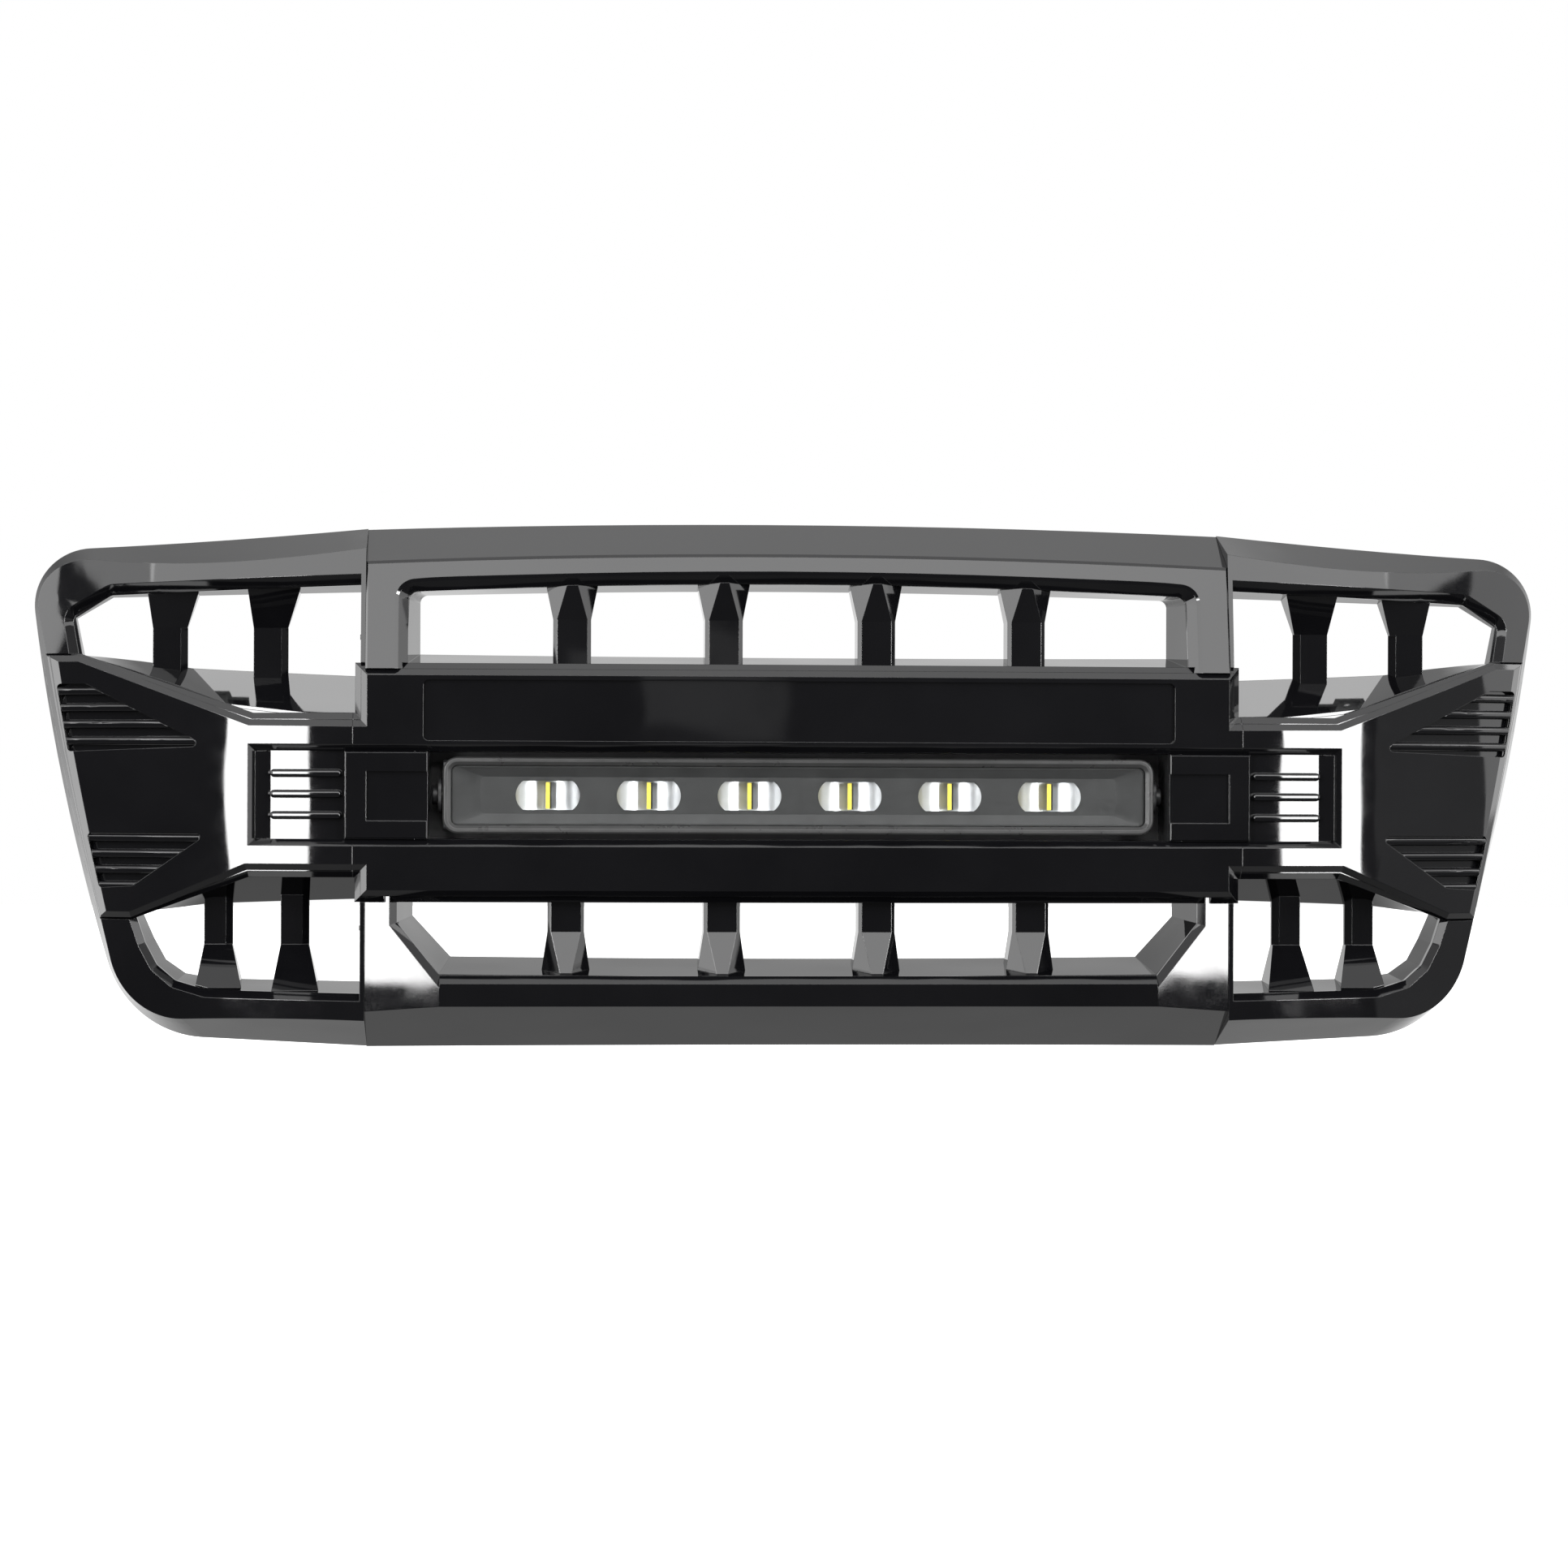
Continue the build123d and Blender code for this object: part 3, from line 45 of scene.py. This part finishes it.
def colour_ramp(tree, value, stops):
    """value turned into a colour by (position, colour) stops."""
    ramp = tree.nodes.new("ShaderNodeValToRGB")
    elements = ramp.color_ramp.elements
    while len(elements) < len(stops):
        elements.new(0.5)
    for element, (position, colour) in zip(elements, stops):
        element.position = position
        element.color = (*colour, 1.0)
    tree.links.new(value, ramp.inputs["Fac"])
    return ramp.outputs["Color"]


class Look:
    """A node material with one Principled shader, built step by step."""

    def __init__(self, name, **sockets):
        self.material = bpy.data.materials.new(name)
        self.material.use_nodes = True
        self.tree = self.material.node_tree
        self.shader = self.tree.nodes["Principled BSDF"]
        self.place = self.add("ShaderNodeTexCoord").outputs["Object"]
        for socket, value in sockets.items():
            self.shader.inputs[socket.replace("_", " ")].default_value = value

    def add(self, kind, **values):
        node = self.tree.nodes.new(kind)
        for name, value in values.items():
            setattr(node, name, value)
        return node

    def link(self, out, to):
        self.tree.links.new(out, to)

    def stretched(self, stretch):
        """The surface's own coordinates, scaled along X, Y and Z."""
        mapping = self.add("ShaderNodeMapping")
        mapping.inputs["Scale"].default_value = stretch
        self.link(self.place, mapping.inputs["Vector"])
        return mapping.outputs["Vector"]

    def noise(self, scale, detail=3.0, rough=0.55, stretch=None):
        """Smooth noise of a scale in waves per metre, drawn out where stretch is below 1."""
        node = self.add("ShaderNodeTexNoise")
        node.inputs["Scale"].default_value = scale
        node.inputs["Detail"].default_value = detail
        node.inputs["Roughness"].default_value = rough
        self.link(self.stretched(stretch) if stretch else self.place, node.inputs["Vector"])
        return node.outputs["Fac"]

    def spread(self, value, start, end, low=NOISE_LOW, high=NOISE_HIGH):
        """value from low..high mapped to start..end, held at the ends."""
        node = self.add("ShaderNodeMapRange")
        for socket, number in zip(("From Min", "From Max", "To Min", "To Max"), (low, high, start, end)):
            node.inputs[socket].default_value = number
        self.link(value, node.inputs["Value"])
        return node.outputs["Result"]

    def shades(self, value, dark, light, low=NOISE_LOW, high=NOISE_HIGH):
        """value from low..high turned into a colour from dark to light."""
        return colour_ramp(self.tree, value, [(low, dark), (high, light)])

    def blend(self, factor, first, second):
        """The socket first mixed with the plain colour second by a factor socket."""
        mix = self.add("ShaderNodeMix", data_type="RGBA")
        self.link(factor, mix.inputs["Factor"])
        self.link(first, mix.inputs[6])
        mix.inputs[7].default_value = (*second, 1.0)
        return mix.outputs[2]

    def colour(self, out):
        self.link(out, self.shader.inputs["Base Color"])

    def roughness(self, out):
        self.link(out, self.shader.inputs["Roughness"])

    def relief(self, *layers, edge=0.0):
        """Bumps from (height, depth in metres) layers over edges rounded to a radius in metres."""
        normal = None
        if edge:
            rounding = self.add("ShaderNodeBevel", samples=6)
            rounding.inputs["Radius"].default_value = edge
            normal = rounding.outputs["Normal"]
        for height, depth in layers:
            bump = self.add("ShaderNodeBump")
            bump.inputs["Distance"].default_value = depth
            self.link(height, bump.inputs["Height"])
            if normal:
                self.link(normal, bump.inputs["Normal"])
            normal = bump.outputs["Normal"]
        self.link(normal, self.shader.inputs["Normal"])


def gloss_black():
    """Deep gloss moulding: a slight waviness in its reflections, faint smears and fine dust."""
    look = Look("gloss_black", IOR=1.52)
    look.colour(look.shades(look.noise(9.0, 4.0), (0.0018, 0.0018, 0.0022), (0.0032, 0.0032, 0.0037)))
    look.roughness(look.spread(look.noise(60.0, 5.0), 0.025, 0.05, low=0.35))
    look.relief((look.noise(13.0, 1.0, 0.4), 0.0006), (look.noise(2200.0, 2.0), 0.0000015), edge=0.0006)
    return look.material


# Share of the light that clear plastic reflects head-on, and how steeply that grows towards a grazing view.
LENS_MIRRORED = 0.04
LENS_STEEPNESS = 5.0


def clear_lens():
    """Clear plastic that doesn't bend light, with the same gloss on its outer and inner faces."""
    look = Look("clear_lens")
    clear = look.add("ShaderNodeBsdfTransparent")
    look.link(look.shades(look.noise(25.0), (0.955, 0.96, 0.96), (0.975, 0.98, 0.98)), clear.inputs["Color"])
    shine = look.add("ShaderNodeBsdfGlossy")
    look.link(look.spread(look.noise(80.0), 0.02, 0.06), shine.inputs["Roughness"])
    slant = look.add("ShaderNodeLayerWeight")
    slant.inputs["Blend"].default_value = 0.5
    curve = look.add("ShaderNodeMath", operation="POWER")
    curve.inputs[1].default_value = LENS_STEEPNESS
    look.link(slant.outputs["Facing"], curve.inputs[0])
    mirrored = look.add("ShaderNodeMath", operation="MULTIPLY_ADD")
    mirrored.inputs[1].default_value = 1.0 - LENS_MIRRORED
    mirrored.inputs[2].default_value = LENS_MIRRORED
    look.link(curve.outputs[0], mirrored.inputs[0])
    mix = look.add("ShaderNodeMixShader")
    look.link(mirrored.outputs[0], mix.inputs["Fac"])
    look.link(clear.outputs["BSDF"], mix.inputs[1])
    look.link(shine.outputs["BSDF"], mix.inputs[2])
    look.link(mix.outputs["Shader"], look.tree.nodes["Material Output"].inputs["Surface"])
    look.tree.nodes.remove(look.shader)
    return look.material


def circuit_board():
    """White solder mask with raised, slightly darker copper traces under it."""
    look = Look("circuit_board")
    traces = look.noise(260.0, 0.0, stretch=(1.0, 1.0, 0.3))
    mask = look.shades(look.noise(60.0), (0.70, 0.71, 0.69), (0.80, 0.81, 0.79))
    look.colour(look.blend(look.spread(traces, 0.0, 0.25, low=0.5, high=0.52), mask, (0.55, 0.57, 0.55)))
    look.roughness(look.spread(traces, 0.3, 0.45))
    look.relief((traces, 0.00003))
    return look.material


def zinc_steel():
    """Zinc plate with its crystal pattern."""
    look = Look("zinc_steel", Metallic=1.0)
    spangle = look.add("ShaderNodeTexVoronoi")
    spangle.inputs["Scale"].default_value = 260.0
    look.link(look.place, spangle.inputs["Vector"])
    look.colour(look.shades(spangle.outputs["Distance"], (0.47, 0.48, 0.48), (0.62, 0.63, 0.62), 0.1, 0.8))
    look.roughness(look.spread(look.noise(300.0), 0.28, 0.46))
    look.relief((look.noise(500.0), 0.00001), edge=0.0004)
    return look.material


def mottled(name, tint, dark, light, wear, smooth, dull, grain, depth, edge=0.0, **sockets):
    """A material with colour from dark to light by the noise tint, roughness from smooth to dull by the noise
    wear, and bumps of the noise grain that are depth metres deep. Each noise is a dict for Look.noise."""
    look = Look(name, **sockets)
    look.colour(look.shades(look.noise(**tint), dark, light))
    look.roughness(look.spread(look.noise(**wear), smooth, dull))
    look.relief((look.noise(**grain), depth), edge=edge)
    return look.material


# The materials that share one pattern: the arguments of mottled() by the name of the slot.
MOTTLED = {
    "black_moulding": dict(
        tint=dict(scale=30.0), dark=(0.010, 0.010, 0.011), light=(0.018, 0.018, 0.019),
        wear=dict(scale=160.0), smooth=0.34, dull=0.5,
        grain=dict(scale=1800.0, detail=2.0), depth=0.00002, edge=0.0006),
    "black_aluminium": dict(
        tint=dict(scale=700.0, stretch=(0.03, 1.0, 1.0)), dark=(0.016, 0.016, 0.017), light=(0.03, 0.03, 0.032),
        wear=dict(scale=500.0, detail=4.0, stretch=(0.04, 1.0, 1.0)), smooth=0.28, dull=0.42,
        grain=dict(scale=900.0, detail=2.0, stretch=(0.03, 1.0, 1.0)), depth=0.00001, edge=0.0006,
        Metallic=0.35),
    "satin_black": dict(
        tint=dict(scale=45.0), dark=(0.028, 0.028, 0.028), light=(0.036, 0.036, 0.036),
        wear=dict(scale=120.0), smooth=0.26, dull=0.36,
        grain=dict(scale=2400.0, detail=2.0), depth=0.000008, edge=0.0008),
    "satin_grey": dict(
        tint=dict(scale=50.0), dark=(0.011, 0.011, 0.011), light=(0.016, 0.016, 0.016),
        wear=dict(scale=90.0), smooth=0.4, dull=0.52,
        grain=dict(scale=2600.0, detail=2.0), depth=0.00001, edge=0.0004),
    "foam_rubber": dict(
        tint=dict(scale=300.0), dark=(0.012, 0.012, 0.012), light=(0.024, 0.024, 0.023),
        wear=dict(scale=800.0), smooth=0.75, dull=0.95,
        grain=dict(scale=1500.0), depth=0.00008),
    "dark_metal": dict(
        tint=dict(scale=200.0), dark=(0.018, 0.018, 0.017), light=(0.035, 0.034, 0.032),
        wear=dict(scale=400.0), smooth=0.3, dull=0.5,
        grain=dict(scale=900.0), depth=0.00001, edge=0.0002, Metallic=0.6),
    "phosphor": dict(
        tint=dict(scale=900.0), dark=(0.62, 0.50, 0.05), light=(0.80, 0.68, 0.10),
        wear=dict(scale=600.0), smooth=0.35, dull=0.55,
        grain=dict(scale=2500.0), depth=0.00002),
    "black_nylon": dict(
        tint=dict(scale=90.0), dark=(0.012, 0.012, 0.012), light=(0.02, 0.02, 0.02),
        wear=dict(scale=220.0), smooth=0.4, dull=0.55,
        grain=dict(scale=1500.0), depth=0.00003, edge=0.0004),
    "white_nylon": dict(
        tint=dict(scale=120.0), dark=(0.66, 0.64, 0.56), light=(0.76, 0.74, 0.67),
        wear=dict(scale=250.0), smooth=0.38, dull=0.5,
        grain=dict(scale=1400.0), depth=0.00002, edge=0.0004, Subsurface_Weight=0.15),
    "black_steel": dict(
        tint=dict(scale=140.0), dark=(0.012, 0.012, 0.013), light=(0.02, 0.02, 0.021),
        wear=dict(scale=320.0), smooth=0.35, dull=0.55,
        grain=dict(scale=1100.0, detail=2.0), depth=0.00004, edge=0.0005),
    "chrome_reflector": dict(
        tint=dict(scale=70.0), dark=(0.60, 0.61, 0.63), light=(0.68, 0.69, 0.70),
        wear=dict(scale=200.0), smooth=0.28, dull=0.36,
        grain=dict(scale=160.0, detail=1.0), depth=0.00005, Metallic=1.0),
    "zinc_screw": dict(
        tint=dict(scale=350.0), dark=(0.42, 0.42, 0.41), light=(0.58, 0.58, 0.56),
        wear=dict(scale=500.0), smooth=0.24, dull=0.42,
        grain=dict(scale=900.0), depth=0.00001, edge=0.0002, Metallic=1.0),
}
MATERIALS = {maker.__name__: maker() for maker in (gloss_black, clear_lens, circuit_board, zinc_steel)}
MATERIALS.update((name, mottled(name, **values)) for name, values in MOTTLED.items())

for part in frame["record"]["subparts"]:
    node = frame["nodes"][part["node"]]
    node.data.materials.clear()
    node.data.materials.append(MATERIALS[part["material_slot"]])


# ---------------------------------------------------------------- staging

FLOOR_DROP = 0.30  # metres below the part's lowest point
FLOOR_HALF = 14.0  # metres from the middle of the floor to its edges
FLOOR_GLOW = 0.8  # own brightness, which keeps the floor free of dark patches

# Brightness of the surroundings by the height of the line of sight, from -1 straight down to 1 straight up,
# as a share of WORLD_LEVEL. Behind the part is a white sweep, ahead of it a dim room.
WORLD_LEVEL = 2.0
BEHIND_LEVELS = [(-1.0, 0.25), (-0.6, 0.28), (-0.3, 0.4), (0.0, 0.55), (0.3, 0.5), (0.57, 0.3), (0.72, 0.4),
                 (1.0, 0.9)]
AHEAD_LEVELS = [(-1.0, 0.08), (-0.3, 0.035), (0.0, 0.04), (0.35, 0.08), (0.7, 0.5), (1.0, 0.8)]
# Where along Y (-1 ahead, 1 behind) the one gives way to the other.
ROOM_END, SWEEP_START = -0.25, 0.3

# The camera turns about a point inside the part. Angles are in degrees, the lens and sensor in millimetres,
# and the shift is a share of the frame's width.
CAMERA_YAW, CAMERA_PITCH, CAMERA_ROLL = 4.26, -0.10, 0.21
CAMERA_PIVOT = Vector((0.0, -0.047, 0.0))
CAMERA_DISTANCE = 3.0
CAMERA_LENS, CAMERA_SENSOR = 91.93, 36.0
CAMERA_SHIFT = -0.0084


def pale_floor():
    """A plain pale floor under the part."""
    z = cad_low.z - FLOOR_DROP
    corners = [(-FLOOR_HALF, -FLOOR_HALF, z), (FLOOR_HALF, -FLOOR_HALF, z),
               (FLOOR_HALF, FLOOR_HALF, z), (-FLOOR_HALF, FLOOR_HALF, z)]
    mesh = bpy.data.meshes.new("floor")
    mesh.from_pydata(corners, [], [(0, 1, 2, 3)])
    floor = bpy.data.objects.new("floor", mesh)
    bpy.context.scene.collection.objects.link(floor)
    look = Look("pale_floor", Roughness=0.9)
    look.colour(look.shades(look.noise(3.0), (0.86, 0.86, 0.86), (0.9, 0.9, 0.9)))
    look.shader.inputs["Emission Color"].default_value = (1.0, 1.0, 1.0, 1.0)
    look.shader.inputs["Emission Strength"].default_value = FLOOR_GLOW
    mesh.materials.append(look.material)
    floor.visible_glossy = False
    floor.visible_diffuse = False


def studio_world():
    """Soft surroundings, which the camera itself sees as plain white."""
    world = bpy.data.worlds.new("studio")
    bpy.context.scene.world = world
    world.use_nodes = True
    tree = world.node_tree
    tree.nodes.clear()
    add, link = tree.nodes.new, tree.links.new

    direction = add("ShaderNodeSeparateXYZ")
    link(add("ShaderNodeTexCoord").outputs["Generated"], direction.inputs["Vector"])

    def levels(stops):
        height = add("ShaderNodeMapRange")
        height.inputs["From Min"].default_value = -1.0
        link(direction.outputs["Z"], height.inputs["Value"])
        greys = [((z + 1.0) / 2.0, (level, level, level)) for z, level in stops]
        return colour_ramp(tree, height.outputs["Result"], greys)

    side = add("ShaderNodeMapRange")
    side.interpolation_type = "SMOOTHSTEP"
    side.inputs["From Min"].default_value = ROOM_END
    side.inputs["From Max"].default_value = SWEEP_START
    link(direction.outputs["Y"], side.inputs["Value"])
    mix = add("ShaderNodeMix")
    mix.data_type = "RGBA"
    link(side.outputs["Result"], mix.inputs["Factor"])
    link(levels(AHEAD_LEVELS), mix.inputs[6])
    link(levels(BEHIND_LEVELS), mix.inputs[7])
    room = add("ShaderNodeBackground")
    link(mix.outputs[2], room.inputs["Color"])
    room.inputs["Strength"].default_value = WORLD_LEVEL
    white = add("ShaderNodeBackground")
    white.inputs["Color"].default_value = (1.0, 1.0, 1.0, 1.0)
    seen = add("ShaderNodeMixShader")
    link(add("ShaderNodeLightPath").outputs["Is Camera Ray"], seen.inputs["Fac"])
    link(room.outputs["Background"], seen.inputs[1])
    link(white.outputs["Background"], seen.inputs[2])
    link(seen.outputs["Shader"], add("ShaderNodeOutputWorld").inputs["Surface"])


def softbox(name, centre, target, width, height, radiance):
    """An area light that shows the given radiance to whatever reflects it."""
    light = bpy.data.lights.new(name, "AREA")
    light.shape = "RECTANGLE"
    light.size, light.size_y = width, height
    light.energy = radiance * width * height * math.pi
    lamp = bpy.data.objects.new(name, light)
    bpy.context.scene.collection.objects.link(lamp)
    lamp.location = centre
    lamp.rotation_euler = (Vector(target) - Vector(centre)).to_track_quat("-Z", "Y").to_euler()
    lamp.visible_camera = False


def around(azimuth, distance, height):
    """A point at an azimuth in degrees from straight ahead of the part, positive to its right."""
    angle = math.radians(azimuth)
    return (distance * math.sin(angle), -distance * math.cos(angle), height)


# Name, centre, target, width, height and radiance, in metres. The two strips make the white bands at the wings'
# inner ends, and the grey card the paler patch on the upper beam.
SOFTBOXES = (
    ("front_left_strip", (-1.40, -2.36, 0.245), (-0.39, 0.0, 0.245), 0.61, 1.01, 26.0),
    ("front_right_strip", (1.73, -2.19, 0.245), (0.40, 0.0, 0.245), 0.62, 1.01, 26.0),
    ("left_side", around(-85.0, 2.2, 0.2), (0.0, 0.0, 0.0), 1.6, 1.6, 4.5),
    ("right_side", around(85.0, 2.2, 0.2), (0.0, 0.0, 0.0), 1.6, 1.6, 2.0),
    ("left_high", around(-62.0, 2.5, 1.1), (-0.5, 0.0, 0.0), 1.1, 0.9, 3.0),
    ("right_high", around(62.0, 2.5, 1.1), (0.5, 0.0, 0.0), 1.1, 0.9, 3.0),
    ("right_fill", around(61.0, 2.6, 0.0), (0.45, 0.0, 0.0), 1.27, 0.8, 0.3),
    ("grey_card", (0.034, -3.35, 0.14), (0.034, 0.0, 0.14), 0.3, 0.17, 0.32),
    ("front_overhead", (0.0, -2.3, 1.2), (0.0, 0.0, 0.1), 5.4, 1.5, 4.4),
    ("top_light", (0.0, 0.86, 1.94), (0.0, 0.0, 0.0), 4.6, 0.4, 3.0),
)


def camera():
    """The photograph's view, nearly straight ahead."""
    yaw, pitch, roll = (math.radians(angle) for angle in (CAMERA_YAW, CAMERA_PITCH, CAMERA_ROLL))
    turn = Matrix.Rotation(roll, 3, "Y") @ Matrix.Rotation(pitch, 3, "X") @ Matrix.Rotation(yaw, 3, "Z")
    right, forward, up = turn
    data = bpy.data.cameras.new("camera")
    data.sensor_width = CAMERA_SENSOR
    data.lens = CAMERA_LENS
    data.shift_x = CAMERA_SHIFT
    data.clip_start, data.clip_end = 0.05, 100.0
    cam = bpy.data.objects.new("camera", data)
    axes = Matrix((right, up, -forward)).transposed()
    cam.matrix_world = Matrix.Translation(CAMERA_PIVOT - CAMERA_DISTANCE * forward) @ axes.to_4x4()
    bpy.context.scene.collection.objects.link(cam)
    bpy.context.scene.camera = cam


pale_floor()
studio_world()
for box in SOFTBOXES:
    softbox(*box)
camera()

scene = bpy.context.scene
scene.view_settings.view_transform = "Standard"
scene.cycles.use_denoising = True
# Enough bounces for the lens in front of the chrome reflectors.
scene.cycles.max_bounces = 10
scene.cycles.transparent_max_bounces = 12
